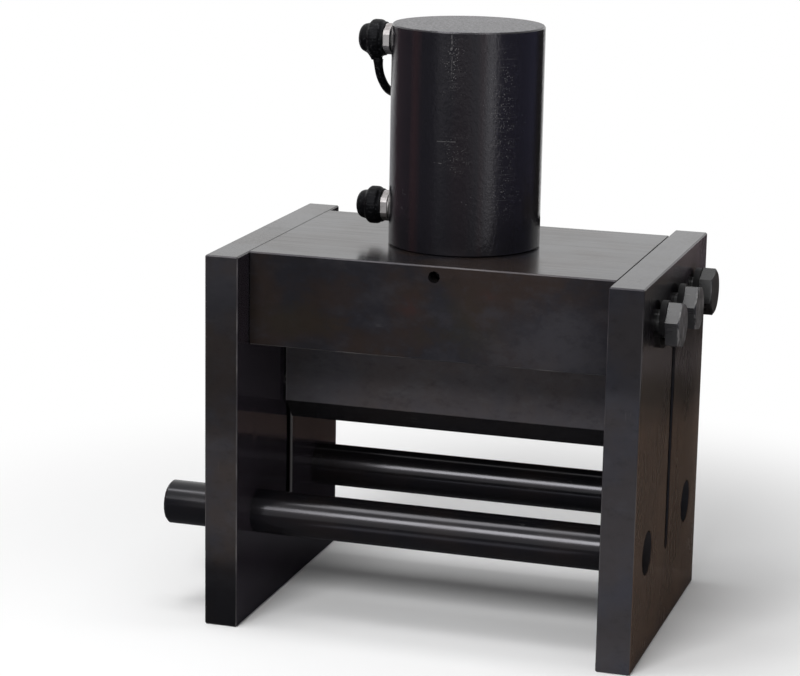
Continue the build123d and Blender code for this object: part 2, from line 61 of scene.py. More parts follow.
# Three shades of bluing for each flat piece, bluish, brown and grey. All colours are linear red, green and blue
BLOCK_SHADES = [(0.0118, 0.0118, 0.0144, 1), (0.0178, 0.0130, 0.0112, 1), (0.0215, 0.0207, 0.0236, 1)]
LEFT_SHADES = [(0.0195, 0.0192, 0.0222, 1), (0.0222, 0.0186, 0.0176, 1), (0.0260, 0.0255, 0.0285, 1)]
RIGHT_SHADES = [(0.0250, 0.0252, 0.0308, 1), (0.0272, 0.0250, 0.0266, 1), (0.0310, 0.0310, 0.0355, 1)]
# The punch's shades are lighter than the block's, as painted light where the block shades it
PUNCH_SHADES = [(0.0390, 0.0370, 0.0415, 1), (0.0440, 0.0385, 0.0390, 1), (0.0540, 0.0520, 0.0560, 1)]

# Other colours of the blued steel
# The outer faces' brown: partly the bluing's own, partly painted reflection of a brown surface beside them
OUTER_BROWN_AND_PAINTED_REFLECTION = (0.0770, 0.0455, 0.0290, 1)
OUTER_GREY_AND_PAINTED_REFLECTION = (0.0590, 0.0375, 0.0250, 1)
# Painted reflections on the right plate's outer face; the dark one is also the left plate's plain tone
OUTER_DARK_AND_PAINTED_REFLECTION = (0.0070, 0.0062, 0.0072, 1)
OUTER_PAINTED_OLIVE_REFLECTION = (0.0040, 0.0042, 0.0028, 1)
OUTER_PAINTED_PALE_REFLECTION = (0.0720, 0.0620, 0.0680, 1)
OUTER_PAINTED_VIOLET_REFLECTION = (0.0900, 0.0710, 0.0850, 1)
# Painted shade on the side plates' inner faces, which face each other
INNER_PAINTED_SHADE = (0.0190, 0.0155, 0.0205, 1)
STAIN_RED = (0.0330, 0.0150, 0.0130, 1)
STAIN_BROWN = (0.0240, 0.0155, 0.0105, 1)
STAIN_OLIVE = (0.0180, 0.0165, 0.0105, 1)
# A painted highlight on the block's front
STAIN_PAINTED_HIGHLIGHT = (0.0255, 0.0245, 0.0275, 1)
BARREL_BLACK = (0.0078, 0.0074, 0.0094, 1)
# Brown of the barrel: its own tone in stripes, and the colour of its painted reflections
BARREL_BROWN = (0.0200, 0.0108, 0.0120, 1)
BARREL_TOP = (0.2100, 0.2080, 0.2140, 1)
BARREL_TOP_DARK = (0.0850, 0.0840, 0.0870, 1)
ROD_BLACK = (0.0042, 0.0042, 0.0052, 1)
ROD_BROWN = (0.0066, 0.0052, 0.0052, 1)
BOLT_BLACK = (0.0200, 0.0196, 0.0212, 1)
BOLT_GREY = (0.0330, 0.0325, 0.0340, 1)
BOLT_END = (0.150, 0.146, 0.146, 1)
BOLT_END_DARK = (0.014, 0.014, 0.015, 1)
WASHER_BLACK = (0.0060, 0.0058, 0.0062, 1)
WASHER_BROWN = (0.0120, 0.0100, 0.0095, 1)
# Bright steel of wear and nicks, also painted as highlight on the slots' edges and sheen on the barrel's rings
WORN_STEEL_AND_PAINTED_HIGHLIGHT = (0.17, 0.165, 0.165, 1)
# Pale bare steel of the port seats, partly painted reflection of the barrel's bright edge
SEAT_STEEL_AND_EDGE_REFLECTION = (0.30, 0.29, 0.285, 1)
# Grime in the joints between pieces, also painted shade in the guide slots
JOINT_GRIME_AND_SLOT_SHADE = (0.0015, 0.0013, 0.0012, 1)
OIL_BLACK = (0.0060, 0.0058, 0.0066, 1)

# Colours of bare metal, rubber, plastic and floor
GROUND_STEEL = (0.52, 0.51, 0.49, 1)
DULL_STEEL = (0.36, 0.35, 0.335, 1)
CHROME = (0.70, 0.71, 0.72, 1)
NICKEL = (0.34, 0.325, 0.325, 1)
NICKEL_STAIN = (0.21, 0.19, 0.185, 1)
BRONZE = (0.50, 0.31, 0.13, 1)
BRONZE_DARK = (0.30, 0.17, 0.07, 1)
RUBBER = (0.0015, 0.0015, 0.0019, 1)
RUBBER_DUSTY = (0.0040, 0.0040, 0.0047, 1)
RUBBER_GRIT = (0.0400, 0.0400, 0.0430, 1)
SEAL_GREY = (0.060, 0.058, 0.058, 1)
SEAL_DUSTY = (0.110, 0.106, 0.104, 1)
RING_BROWN = (0.27, 0.15, 0.06, 1)
RING_DARK = (0.17, 0.09, 0.04, 1)
FLOOR_PALE = (0.97, 0.97, 0.972, 1)
WHITE = (1, 1, 1, 1)

# How much of the white light that falls straight on each finish it sends back, by colour
BLUED_TINT = (0.28, 0.265, 0.30, 1)
BARREL_TINT = (0.43, 0.42, 0.45, 1)
ROD_TINT = (0.74, 0.73, 0.78, 1)
RUBBER_TINT = (0.50, 0.50, 0.54, 1)
SCREW_TINT = (0.52, 0.51, 0.55, 1)
WASHER_TINT = (0.20, 0.20, 0.20, 1)

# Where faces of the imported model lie
PLATE_INNER_X = 108.0 * MM
PLATE_OUTER_X = 128.0 * MM
PLATE_MIDDLE_X = (PLATE_INNER_X + PLATE_OUTER_X) / 2
BOLT_END_X = 142.0 * MM
SLOT_HALF_WIDTH = 5.0 * MM
SLOT_LOW = 48.0 * MM
SLOT_HIGH = 175.0 * MM

# The ports' heights and the radius of the seats round them, in millimetres
UPPER_PORT_Z = 340.0
LOWER_PORT_Z = 241.3
SEAT_RADIUS = 9.6

# A face's own colour begins this far from the face, and is full this near to it
FACE_FAR = 0.4 * MM
FACE_NEAR = 0.1 * MM

# The range that noise mostly keeps to
NOISE_LOW = 0.3
NOISE_HIGH = 0.7

# Where scratches and specks gather: noise features per metre and detail, and how softly a cluster ends
SCRATCH_CLUSTERS = (55.0, 2.0)
SCRATCH_FADE = 0.1
SPECK_CLUSTERS = (38.0, 3.0)
SPECK_FADE = 0.12
SPECK_CORE = 0.4


def along(axis, across, length):
    """A stretch for grain along an axis: features per metre across the axis and along it."""
    return [length if i == axis else across for i in range(3)]


class Shader:
    """A material's node tree, with short calls for the nodes that the finishes use."""

    def __init__(self, name):
        self.material = bpy.data.materials.new(name)
        self.material.use_nodes = True
        self.tree = self.material.node_tree
        self.surface = self.tree.nodes["Principled BSDF"]

    def add(self, kind, **settings):
        node = self.tree.nodes.new("ShaderNode" + kind)
        for key, value in settings.items():
            setattr(node, key, value)
        return node

    def feed(self, socket, value):
        """Link a socket to a node's output, or set it to a constant."""
        if isinstance(value, bpy.types.NodeSocket):
            self.tree.links.new(value, socket)
        else:
            socket.default_value = value

    def set(self, **values):
        """Set sockets of the surface shader, named with underscores for spaces."""
        for name, value in values.items():
            self.feed(self.surface.inputs[name.replace("_", " ")], value)

    def maths(self, operation, *values):
        node = self.add("Math", operation=operation)
        for socket, value in zip(node.inputs, values):
            self.feed(socket, value)
        return node.outputs[0]

    def off(self, value, middle):
        """How far a value lies from a middle, on either side."""
        return self.maths("ABSOLUTE", self.maths("SUBTRACT", value, middle))

    def length(self, a, b):
        """The length of a flat vector."""
        squares = self.maths("ADD", self.maths("MULTIPLY", a, a), self.maths("MULTIPLY", b, b))
        return self.maths("SQRT", squares)

    def largest(self, values):
        total = values[0]
        for value in values[1:]:
            total = self.maths("MAXIMUM", total, value)
        return total

    def coordinates(self):
        """The surface's own X, Y and Z in metres."""
        split = self.add("SeparateXYZ")
        self.feed(split.inputs[0], self.add("TexCoord").outputs["Object"])
        return split.outputs

    def place(self, stretch=(1, 1, 1)):
        """The surface's own coordinates in metres, stretched along each axis."""
        mapping = self.add("Mapping", vector_type="TEXTURE")
        self.feed(mapping.inputs["Vector"], self.add("TexCoord").outputs["Object"])
        mapping.inputs["Scale"].default_value = [1 / s for s in stretch]
        return mapping.outputs[0]

    def noise(self, place, scale, detail=3.0, roughness=0.55):
        node = self.add("TexNoise")
        self.feed(node.inputs["Vector"], place)
        node.inputs["Scale"].default_value = scale
        node.inputs["Detail"].default_value = detail
        node.inputs["Roughness"].default_value = roughness
        return node.outputs["Fac"]

    def grain(self, axis, across, length, detail=4.0, roughness=0.65):
        """Noise that is drawn out along an axis, or flattened across it."""
        return self.noise(self.place(along(axis, across, length)), 1.0, detail, roughness)

    def cells(self, place, scale, feature):
        node = self.add("TexVoronoi", feature=feature)
        self.feed(node.inputs["Vector"], place)
        node.inputs["Scale"].default_value = scale
        return node.outputs["Distance"]

    def band(self, value, low, high, to_low=0.0, to_high=1.0):
        """Map low to high onto to_low to to_high, smoothly, with both ends held."""
        node = self.add("MapRange", interpolation_type="SMOOTHSTEP")
        ends = {"From Min": low, "From Max": high, "To Min": to_low, "To Max": to_high}
        for name, number in ends.items():
            node.inputs[name].default_value = number
        self.feed(node.inputs["Value"], value)
        return node.outputs[0]

    def spread(self, noise, low, high):
        """Map a noise's usual range onto low to high."""
        return self.band(noise, NOISE_LOW, NOISE_HIGH, low, high)

    def through(self, value, points):
        """A number that follows a value smoothly through points: the value in millimetres, and the number."""
        total = points[0][1]
        for (first, start), (second, end) in zip(points, points[1:]):
            total = self.maths("ADD", total, self.band(value, first * MM, second * MM, 0.0, end - start))
        return total

    def mix(self, factor, first, second):
        """Mix two colours."""
        node = self.add("Mix", data_type="RGBA")
        self.feed(node.inputs[0], factor)
        self.feed(node.inputs[6], first)
        self.feed(node.inputs[7], second)
        return node.outputs[2]

    def with_painted_light(self, colour, painted_light):
        """A colour made lighter and darker along some axes, as painted light and shade."""
        for axis, points in painted_light:
            node = self.add("VectorMath", operation="SCALE")
            self.feed(node.inputs[0], colour)
            self.feed(node.inputs["Scale"], self.through(self.coordinates()[axis], points))
            colour = node.outputs[0]
        return colour

    def bump(self, height, distance, strength=1.0, over=None):
        node = self.add("Bump")
        node.inputs["Distance"].default_value = distance
        node.inputs["Strength"].default_value = strength
        self.feed(node.inputs["Height"], height)
        if over is not None:
            self.feed(node.inputs["Normal"], over)
        return node.outputs[0]

    def edge_of_box(self, low, high):
        """How far a point on a box lies from the box's nearest edge."""
        gaps = []
        for value, a, b in zip(self.coordinates(), low, high):
            gaps.append(self.maths("SUBTRACT", (b - a) / 2, self.off(value, (a + b) / 2)))
        smaller = self.maths("MINIMUM", gaps[0], gaps[1])
        larger = self.maths("MAXIMUM", gaps[0], gaps[1])
        return self.maths("MAXIMUM", smaller, self.maths("MINIMUM", larger, gaps[2]))

    def scratches(self, axis, across, length, width, cover):
        """Sparse thin scratches along an axis, in clusters."""
        line = self.cells(self.place(along(axis, across, length)), 1.0, "DISTANCE_TO_EDGE")
        thin = self.band(line, 0.0, width, 1.0, 0.0)
        where = self.band(self.noise(self.place(), *SCRATCH_CLUSTERS), cover, cover + SCRATCH_FADE)
        return self.maths("MULTIPLY", thin, where)

    def specks(self, scale, size, cover):
        """Small bright nicks, in clusters."""
        dot = self.band(self.cells(self.place(), scale, "F1"), size * SPECK_CORE, size, 1.0, 0.0)
        where = self.band(self.noise(self.place(), *SPECK_CLUSTERS), cover, cover + SPECK_FADE)
        return self.maths("MULTIPLY", dot, where)

    def stroke(self, around, z, radius, first_angle, first_z, second_angle, second_z):
        """How far a point on a barrel lies from a straight mark, with the barrel's wall unrolled flat."""
        a = Vector((math.radians(first_angle) * radius, first_z * MM))
        b = Vector((math.radians(second_angle) * radius, second_z * MM))
        length = (b - a).length
        ahead = (b - a) / length
        side = self.maths("SUBTRACT", around, a.x)
        up = self.maths("SUBTRACT", z, a.y)
        run = self.maths("ADD", self.maths("MULTIPLY", side, ahead.x), self.maths("MULTIPLY", up, ahead.y))
        aside = self.off(self.maths("MULTIPLY", side, ahead.y), self.maths("MULTIPLY", up, ahead.x))
        past = self.maths("SUBTRACT", self.off(run, length / 2), length / 2)
        return self.maths("MAXIMUM", aside, past)


# Stains on the block's front, and a pale patch that is a painted highlight: colour, X and Z of the middle, half
# width and half height in millimetres, and strength
BLOCK_STAINS_AND_HIGHLIGHT = [
    (STAIN_OLIVE, -80.0, 183.0, 34.0, 15.0, 0.42),
    (STAIN_BROWN, -54.0, 199.0, 30.0, 20.0, 0.40),
    (STAIN_BROWN, -22.0, 178.0, 46.0, 14.0, 0.36),
    (STAIN_RED, -11.0, 196.0, 11.0, 9.0, 0.42),
    (STAIN_OLIVE, 22.0, 190.0, 30.0, 22.0, 0.35),
    (STAIN_PAINTED_HIGHLIGHT, 74.0, 184.0, 46.0, 28.0, 0.7),
    (STAIN_RED, 36.0, 207.0, 9.0, 5.0, 0.25),
]
STAIN_AND_HIGHLIGHT_PATCHY = 0.45
STAIN_AND_HIGHLIGHT_FLECKED = 0.40
STAIN_AND_HIGHLIGHT_FADE = 1.1

# Painted light and shade along an axis: the axis, and pairs of a place in millimetres and the lightness there
LEFT_PAINTED_LIGHT_POINTS = [
    (20, 0.30),
    (32, 0.40),
    (48, 1.10),
    (66, 1.38),
    (92, 1.32),
    (110, 1.20),
    (124, 0.80),
    (150, 0.66),
    (183, 0.74),
    (215, 1.0),
]
LEFT_PAINTED_LIGHT = [(Z, LEFT_PAINTED_LIGHT_POINTS)]
RIGHT_PAINTED_LIGHT = [
    (Z, [(6, 1.50), (30, 1.24), (60, 1.30), (110, 1.15), (154, 1.06), (168, 0.66), (215, 0.62)]),
]
BLOCK_PAINTED_LIGHT = [
    (X, [(-96, 0.84), (-70, 0.76), (-44, 0.92), (-20, 1.0), (28, 1.17), (75, 1.22), (104, 1.0)]),
]
# Painted light on the punch, lighter to the right, and painted shade on its lower faces
PUNCH_PAINTED_LIGHT = [
    (X, [(-96, 1.0), (-60, 1.15), (-10, 1.28), (44, 1.36), (100, 1.36)]),
    (Z, [(119.2, 0.18), (120.2, 1.0)]),
]
# Painted shade on the rear bolt
BOLT_PAINTED_SHADE = [(Y, [(20, 1.0), (30, 0.25)])]

# Bands on the plates' outer faces: the colour, the heights in millimetres where it starts and is full, and its
# strength. The bands lean down towards the back and wave a little. The left plate has one that covers all of
# it, a plain darker tone; the right plate's bands are painted reflections.
LEFT_BANDS = [
    (OUTER_DARK_AND_PAINTED_REFLECTION, -60, -40, 0.7),
]
RIGHT_PAINTED_REFLECTION_BANDS = [
    (OUTER_PAINTED_OLIVE_REFLECTION, 118, 143, 0.85),
    (OUTER_PAINTED_PALE_REFLECTION, 145, 163, 0.55),
    (OUTER_DARK_AND_PAINTED_REFLECTION, 164, 182, 1.0),
    (OUTER_PAINTED_VIOLET_REFLECTION, 204, 226, 1.0),
]
OUTER_LEAN = 0.21
OUTER_WAVE = 4.0 * MM
OUTER_ROUGHER = 0.05
# How strongly painted shade covers the plates' inner faces, and how much smoother those faces are
INNER_SHADE_STRENGTH = 0.9
INNER_SMOOTHER = 0.07

# A painted highlight along the guide slots' rear inner edges, and painted shade in the slots between the mouths
SLOT_PAINTED_HIGHLIGHT = 0.55
SLOT_HIGHLIGHT_NEAR = 0.7 * MM
SLOT_HIGHLIGHT_FAR = 1.3 * MM
SLOT_END_FADE = 3.0 * MM
SLOT_SHADE_NEAR = 8.2 * MM
SLOT_SHADE_FAR = 8.8 * MM

# How far bright wear reaches from a plate's edges, and grime from a joint
EDGE_WEAR_NEAR = 0.3 * MM
EDGE_WEAR_FAR = 0.85 * MM
GRIME_FAR = 0.9 * MM
GRIME_NEAR = 0.4 * MM

# How bright a plate's scratches are, and how much rougher its worn places and painted highlights
PLATE_NICKS = 0.10
PLATE_WEAR_AND_HIGHLIGHT_ROUGHER = 0.18

# A plate's noise: features per metre, detail and roughness. Where a finish bands a noise, the first two numbers
# are where it starts and where it is full, and the next two the strengths there
PLATE_BLOTCH = (15.0, 5.0, 0.62)
PLATE_PATCH = (34.0, 4.0, 0.6)
PLATE_FLECK = (110.0, 5.0, 0.72)
PLATE_RUB = (30.0, 4.0)


def stained_and_highlighted(s, colour, stains_and_highlight, patch, fleck):
    """Lay ragged oval patches of stain and of painted highlight over a front face's colour."""
    x, _, z = s.coordinates()
    for stain, middle_x, middle_z, half_x, half_z, strength in stains_and_highlight:
        across = s.maths("DIVIDE", s.maths("SUBTRACT", x, middle_x * MM), half_x * MM)
        up = s.maths("DIVIDE", s.maths("SUBTRACT", z, middle_z * MM), half_z * MM)
        ragged = s.maths("ADD", s.length(across, up), s.band(patch, 0.25, 0.75, -STAIN_AND_HIGHLIGHT_PATCHY, STAIN_AND_HIGHLIGHT_PATCHY))
        ragged = s.maths("ADD", ragged, s.band(fleck, 0.25, 0.75, -STAIN_AND_HIGHLIGHT_FLECKED, STAIN_AND_HIGHLIGHT_FLECKED))
        colour = s.mix(s.band(ragged, 0.0, STAIN_AND_HIGHLIGHT_FADE, strength, 0.0), colour, stain)
    return colour


def plate_faces(s, colour, rough, blotch, bands):
    """Brown a side plate's outer face under bands, partly painted reflection, and paint shade on its inner
    face.
    """
    x, y, z = s.coordinates()
    # The outer face's brown, partly painted reflection
    outer = s.mix(s.band(blotch, 0.36, 0.64), OUTER_BROWN_AND_PAINTED_REFLECTION, OUTER_GREY_AND_PAINTED_REFLECTION)
    leaned = s.maths("ADD", z, s.maths("MULTIPLY", y, OUTER_LEAN))
    leaned = s.maths("ADD", leaned, s.spread(blotch, -OUTER_WAVE, OUTER_WAVE))
    # Bands of painted reflection on the right plate; on the left, one plain darker tone
    for shade, start, full, strength in bands:
        outer = s.mix(s.band(leaned, start * MM, full * MM, 0.0, strength), outer, shade)
    side = s.maths("ABSOLUTE", x)
    outside = s.band(side, PLATE_OUTER_X - FACE_FAR, PLATE_OUTER_X - FACE_NEAR)
    # Painted shade over the inner face
    inner_painted_shade = s.band(side, PLATE_INNER_X + FACE_NEAR, PLATE_INNER_X + FACE_FAR, INNER_SHADE_STRENGTH, 0.0)
    colour = s.mix(inner_painted_shade, s.mix(outside, colour, outer), INNER_PAINTED_SHADE)
    rough = s.maths("ADD", rough, s.maths("MULTIPLY", outside, OUTER_ROUGHER))
    rough = s.maths("SUBTRACT", rough, s.maths("MULTIPLY", inner_painted_shade, INNER_SMOOTHER))
    return colour, rough


def slot_light_and_shade(s, slot_x):
    """How much painted highlight lies on the guide slot's rear edge at slot_x, and how much painted shade in
    the slot.
    """
    x, y, z = s.coordinates()
    from_edge = s.length(s.maths("SUBTRACT", y, SLOT_HALF_WIDTH), s.maths("SUBTRACT", x, slot_x))
    half = (SLOT_HIGH - SLOT_LOW) / 2
    beside = s.band(s.off(z, (SLOT_LOW + SLOT_HIGH) / 2), half - SLOT_END_FADE, half, 1.0, 0.0)
    bright_marks = s.maths("MULTIPLY", s.band(from_edge, SLOT_HIGHLIGHT_NEAR, SLOT_HIGHLIGHT_FAR, SLOT_PAINTED_HIGHLIGHT, 0.0), beside)
    between = s.band(s.maths("ABSOLUTE", y), SLOT_HALF_WIDTH, SLOT_HALF_WIDTH + FACE_NEAR, 1.0, 0.0)
    depth = s.off(s.maths("ABSOLUTE", x), PLATE_MIDDLE_X)
    slot_shade = s.maths("MULTIPLY", between, s.band(depth, SLOT_SHADE_NEAR, SLOT_SHADE_FAR, 1.0, 0.0))
    return bright_marks, slot_shade


def blued_plate(name, node, axis, shades, painted_light, rubbed=1.0, joint_x=None, slot_x=None, bands=(), stains_and_highlight=()):
    """Ground flat steel with its grain along an axis, blued black and oiled: mottled in three shades.

    The painted light makes it lighter and darker from place to place, as painted shade and reflection, and its
    edges are rubbed bright. Grime gathers beyond joint_x, where the piece meets a plate. A side plate has a
    guide slot, whose inner mouth is at slot_x, with a painted highlight on its rear edge and painted shade in
    it, and bands outside, which on the right plate are painted reflections.
    """
    s = Shader(name)
    blue, brown, grey = shades
    blotch = s.noise(s.place(), *PLATE_BLOTCH)
    patch = s.noise(s.place((1.0, 1.0, 1.7)), *PLATE_PATCH)
    fleck = s.noise(s.place((1.0, 1.0, 1.5)), *PLATE_FLECK)
    streak = s.grain(axis, 420.0, 5.0)
    colour = s.mix(s.band(blotch, 0.42, 0.60), blue, brown)
    colour = s.mix(s.band(patch, 0.50, 0.74, 0.0, 0.7), colour, grey)
    colour = stained_and_highlighted(s, colour, stains_and_highlight, patch, fleck)
    colour = s.mix(s.band(fleck, 0.28, 0.50, 0.26, 0.0), colour, OIL_BLACK)
    colour = s.mix(s.band(fleck, 0.52, 0.74, 0.0, 0.45), colour, grey)
    colour = s.with_painted_light(colour, painted_light)
    rough = s.maths("ADD", s.spread(blotch, 0.13, 0.21), s.spread(streak, -0.03, 0.05))
    edge = s.edge_of_box(*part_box(node))
    uneven = s.band(s.noise(s.place(), *PLATE_RUB), 0.42, 0.66, 0.18, 0.85)
    wear_and_slot_highlight = s.maths("MULTIPLY", s.band(edge, EDGE_WEAR_NEAR, EDGE_WEAR_FAR, rubbed, 0.0), uneven)
    if slot_x is not None:
        colour, rough = plate_faces(s, colour, rough, blotch, bands)
        bright_marks, slot_shade = slot_light_and_shade(s, slot_x)
        # Painted shade in the slot, and a painted highlight on its rear edge
        colour = s.mix(slot_shade, colour, JOINT_GRIME_AND_SLOT_SHADE)
        wear_and_slot_highlight = s.maths("MAXIMUM", wear_and_slot_highlight, bright_marks)
    nick = s.scratches(axis, 260.0, 9.0, 0.035, 0.66)
    bright = s.maths("MAXIMUM", wear_and_slot_highlight, s.maths("MULTIPLY", nick, PLATE_NICKS))
    colour = s.mix(bright, colour, WORN_STEEL_AND_PAINTED_HIGHLIGHT)
    if joint_x is not None:
        joint = s.band(s.maths("ABSOLUTE", s.coordinates()[X]), joint_x - GRIME_FAR, joint_x - GRIME_NEAR)
        colour = s.mix(joint, colour, JOINT_GRIME_AND_SLOT_SHADE)
    s.set(Base_Color=colour, Specular_IOR_Level=0.35, Specular_Tint=BLUED_TINT)
    s.set(Roughness=s.maths("ADD", rough, s.maths("MULTIPLY", bright, PLATE_WEAR_AND_HIGHLIGHT_ROUGHER)))
    s.set(Normal=s.bump(streak, 0.030 * MM, 0.5, s.bump(patch, 0.10 * MM, 0.3)))
    return s.material


# Marks on the barrel: azimuth in degrees from the front and height in millimetres of both ends, and strength
BARREL_MARKS = [
    (3.5, 350.5, 3.9, 341.0, 0.50),
    (4.1, 337.0, 3.7, 325.0, 0.26),
    (-6.0, 288.6, 12.0, 288.9, 0.34),
    (9.5, 282.0, 15.8, 285.2, 0.22),
    (-8.0, 276.3, -2.5, 276.0, 0.40),
]
MARK_HALF_WIDTH = 0.28 * MM
MARK_CORE = 0.3

# Upright brown bands, painted reflections of brown surroundings: azimuth of the middle, half width and strength
BARREL_PAINTED_REFLECTIONS = [
    (-26.0, 6.5, 0.60),
    (-50.0, 11.0, 0.20),
    (27.0, 5.0, 0.25),
    (118.0, 9.0, 0.5),
    (-155.0, 12.0, 0.4),
]
BARREL_REFLECTION_WAVE = 0.04

# Where the barrel is scuffed, and its turned rings carry a painted sheen: azimuth of the middle, half width,
# heights of both ends and strength
BARREL_SCUFFS_AND_SHEEN = [
    (4.5, 13.0, 306.0, 350.0, 0.62),
    (43.0, 16.0, 236.0, 352.0, 0.75),
    (8.0, 16.0, 268.0, 296.0, 0.35),
]
SCUFF_CORE = 0.6

# How much rougher the barrel's top and its bright marks are than its wall
BARREL_TOP_ROUGHER = 0.40
BARREL_MARK_ROUGHER = 0.3

# The barrel's rim: where it is worn and how brightly, and where it is smoother than the wall and how much
RIM_WEAR_NEAR = 0.2 * MM
RIM_WEAR_FAR = 0.6 * MM
RIM_WEAR = 0.16
RIM_SMOOTH_NEAR = 0.5 * MM
RIM_SMOOTH_FAR = 2.0 * MM
RIM_SMOOTHER = 0.02

# How bright the nicks scattered over the barrel are
STRAY_NICKS = 0.25

# The bare seats round the ports, pale partly as painted reflection of the barrel's bright edge: how softly they
# end, in millimetres, and the X that they lie beyond
SEAT_EDGE_NEAR = 0.05
SEAT_EDGE_FAR = 0.25
SEAT_SIDE_FULL = -30.0 * MM
SEAT_SIDE_END = -29.0 * MM


def barrel_marks(s, azimuth, z, radius):
    """A few long scratches on the barrel, broken here and there."""
    around = s.maths("MULTIPLY", azimuth, radius)
    marks = []
    for first_angle, first_z, second_angle, second_z, strength in BARREL_MARKS:
        line = s.stroke(around, z, radius, first_angle, first_z, second_angle, second_z)
        marks.append(s.band(line, MARK_CORE * MARK_HALF_WIDTH, MARK_HALF_WIDTH, strength, 0.0))
    broken = s.band(s.noise(s.place(), 420.0, 3.0), 0.36, 0.56)
    return s.maths("MULTIPLY", s.largest(marks), broken)


def barrel_scuffs_and_sheen(s, azimuth, z):
    """Patches of small nicks on the barrel, and a painted sheen of turned rings."""
    patches = []
    for middle, half, bottom, top, strength in BARREL_SCUFFS_AND_SHEEN:
        across = s.band(s.off(azimuth, math.radians(middle)), 0.0, math.radians(half), strength, 0.0)
        half_height = (top - bottom) / 2 * MM
        height = s.off(z, (bottom + top) / 2 * MM)
        upright = s.band(height, SCUFF_CORE * half_height, half_height, 1.0, 0.0)
        patches.append(s.maths("MULTIPLY", across, upright))
    blots = s.band(s.noise(s.place((1.0, 1.0, 0.6)), 520.0, 5.0, 0.72), 0.58, 0.72, 0.0, 0.6)
    nicks = s.maths("MAXIMUM", s.specks(820.0, 0.34, 0.38), blots)
    fades = s.band(s.noise(s.place(), 330.0, 3.0), 0.40, 0.62, 0.1, 1.0)
    # Painted sheen: turned rings painted bright
    turned = s.band(s.grain(Z, 90.0, 1500.0, 4.0, 0.7), 0.54, 0.72, 0.0, 0.35)
    bright_marks = s.maths("MAXIMUM", s.maths("MULTIPLY", nicks, fades), turned)
    return s.maths("MULTIPLY", bright_marks, s.largest(patches))


def port_seats(s, colour):
    """Lay the bare seats that were cut round the ports, on the left, over the barrel: partly painted
    reflection.
    """
    x, y, z = s.coordinates()
    on_left = s.band(x, SEAT_SIDE_FULL, SEAT_SIDE_END, 1.0, 0.0)
    for port_z in (UPPER_PORT_Z, LOWER_PORT_Z):
        from_axis = s.length(y, s.maths("SUBTRACT", z, port_z * MM))
        near = (SEAT_RADIUS + SEAT_EDGE_NEAR) * MM
        far = (SEAT_RADIUS + SEAT_EDGE_FAR) * MM
        seat = s.maths("MULTIPLY", s.band(from_axis, near, far, 1.0, 0.0), on_left)
        colour = s.mix(seat, colour, SEAT_STEEL_AND_EDGE_REFLECTION)
    return colour


def blued_barrel(name, node):
    """The turned, polished and blued barrel: fine rings, scuffs, a few long scratches and a dull grey top."""
    s = Shader(name)
    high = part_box(node)[1]
    x, y, z = s.coordinates()
    rim = s.maths("MAXIMUM", s.maths("SUBTRACT", high.y, s.length(x, y)), s.maths("SUBTRACT", high.z, z))
    azimuth = s.maths("ARCTAN2", x, s.maths("MULTIPLY", y, -1.0))
    rings = s.grain(Z, 6.0, 900.0, 4.0, 0.7)
    blotch = s.noise(s.place(), 15.0, 4.0, 0.6)
    stripe = s.grain(Z, 60.0, 3.0, 3.0, 0.55)
    colour = s.mix(s.band(stripe, 0.50, 0.72, 0.0, 0.16), BARREL_BLACK, BARREL_BROWN)
    wave = s.spread(stripe, -BARREL_REFLECTION_WAVE, BARREL_REFLECTION_WAVE)
    # Upright brown bands, painted reflections of brown surroundings
    for middle, half, strength in BARREL_PAINTED_REFLECTIONS:
        aside = s.maths("ADD", s.off(azimuth, math.radians(middle)), wave)
        colour = s.mix(s.band(aside, 0.0, math.radians(half), strength, 0.0), colour, BARREL_BROWN)
    on_top = s.band(z, high.z - FACE_FAR, high.z - FACE_NEAR)
    grain = s.band(s.noise(s.place(), 650.0, 4.0, 0.7), 0.38, 0.62)
    colour = s.mix(on_top, colour, s.mix(grain, BARREL_TOP_DARK, BARREL_TOP))
    colour = port_seats(s, colour)
    stray = s.maths("MULTIPLY", s.specks(340.0, 0.18, 0.58), STRAY_NICKS)
    marks = s.largest([barrel_marks(s, azimuth, z, high.y), barrel_scuffs_and_sheen(s, azimuth, z), stray])
    bright = s.maths("MAXIMUM", marks, s.band(rim, RIM_WEAR_NEAR, RIM_WEAR_FAR, RIM_WEAR, 0.0))
    s.set(Base_Color=s.mix(bright, colour, WORN_STEEL_AND_PAINTED_HIGHLIGHT), Specular_IOR_Level=0.5, Specular_Tint=BARREL_TINT)
    rough = s.maths("ADD", s.spread(blotch, 0.09, 0.15), s.spread(rings, -0.02, 0.03))
    rough = s.maths("ADD", rough, s.band(rim, RIM_SMOOTH_NEAR, RIM_SMOOTH_FAR, 0.0, RIM_SMOOTHER))
    rough = s.maths("ADD", rough, s.maths("MULTIPLY", on_top, BARREL_TOP_ROUGHER))
    s.set(Roughness=s.maths("ADD", rough, s.maths("MULTIPLY", bright, BARREL_MARK_ROUGHER)))
    pits = s.noise(s.place((1.0, 1.0, 0.7)), 520.0, 4.0, 0.66)
    skin = s.bump(pits, 0.15 * MM, 1.0, s.bump(rings, 0.012 * MM, 0.4))
    s.set(Normal=s.bump(marks, 0.06 * MM, 0.6, skin))
    return s.material


# Sawn ends of bars: how far from the end they start and are full, and how much rougher they are
SAWN_FAR = 1.5 * MM
SAWN_NEAR = 0.1 * MM
SAWN_ROUGHER = 0.2

# How bright a bar's scratches are
BAR_NICKS = 0.12


